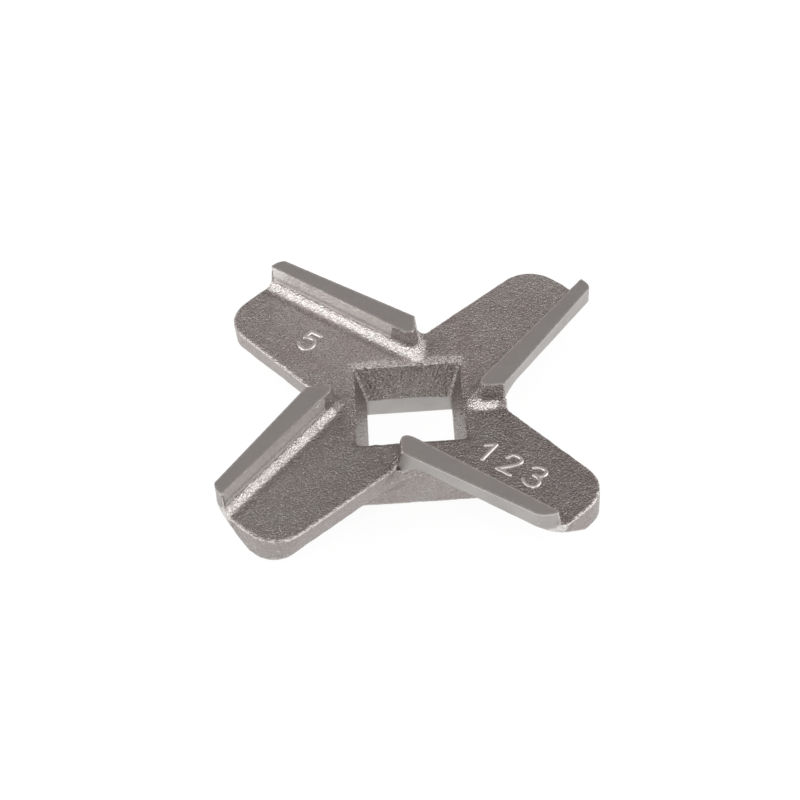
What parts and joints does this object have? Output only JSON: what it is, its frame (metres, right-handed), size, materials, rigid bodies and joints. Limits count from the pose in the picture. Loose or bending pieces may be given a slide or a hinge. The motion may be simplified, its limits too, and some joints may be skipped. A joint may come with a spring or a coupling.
{
  "type": "meat grinder knife",
  "caption": "Cross-shaped meat grinder knife: a steel casting with a ground cutting rib along each arm and a square drive hole with a funnel mouth through its hub.",
  "frame": {"origin": "on the axis of the drive hole, in the bottom face of the hub", "axes": "+Z along the drive hole's axis, from the hub towards the ground rib tops that run against the hole plate; +X and +Y square to the sides of the drive hole"},
  "size_m": [0.0404, 0.0404, 0.0091],
  "materials": {
    "cast_steel": "cast stainless steel, fine sand grain on the arms, ground smooth on the rib tops and leading faces"
  },
  "bodies": {
    "root": {"four_blade_knife": "cast_steel"}
  },
  "joints": []
}
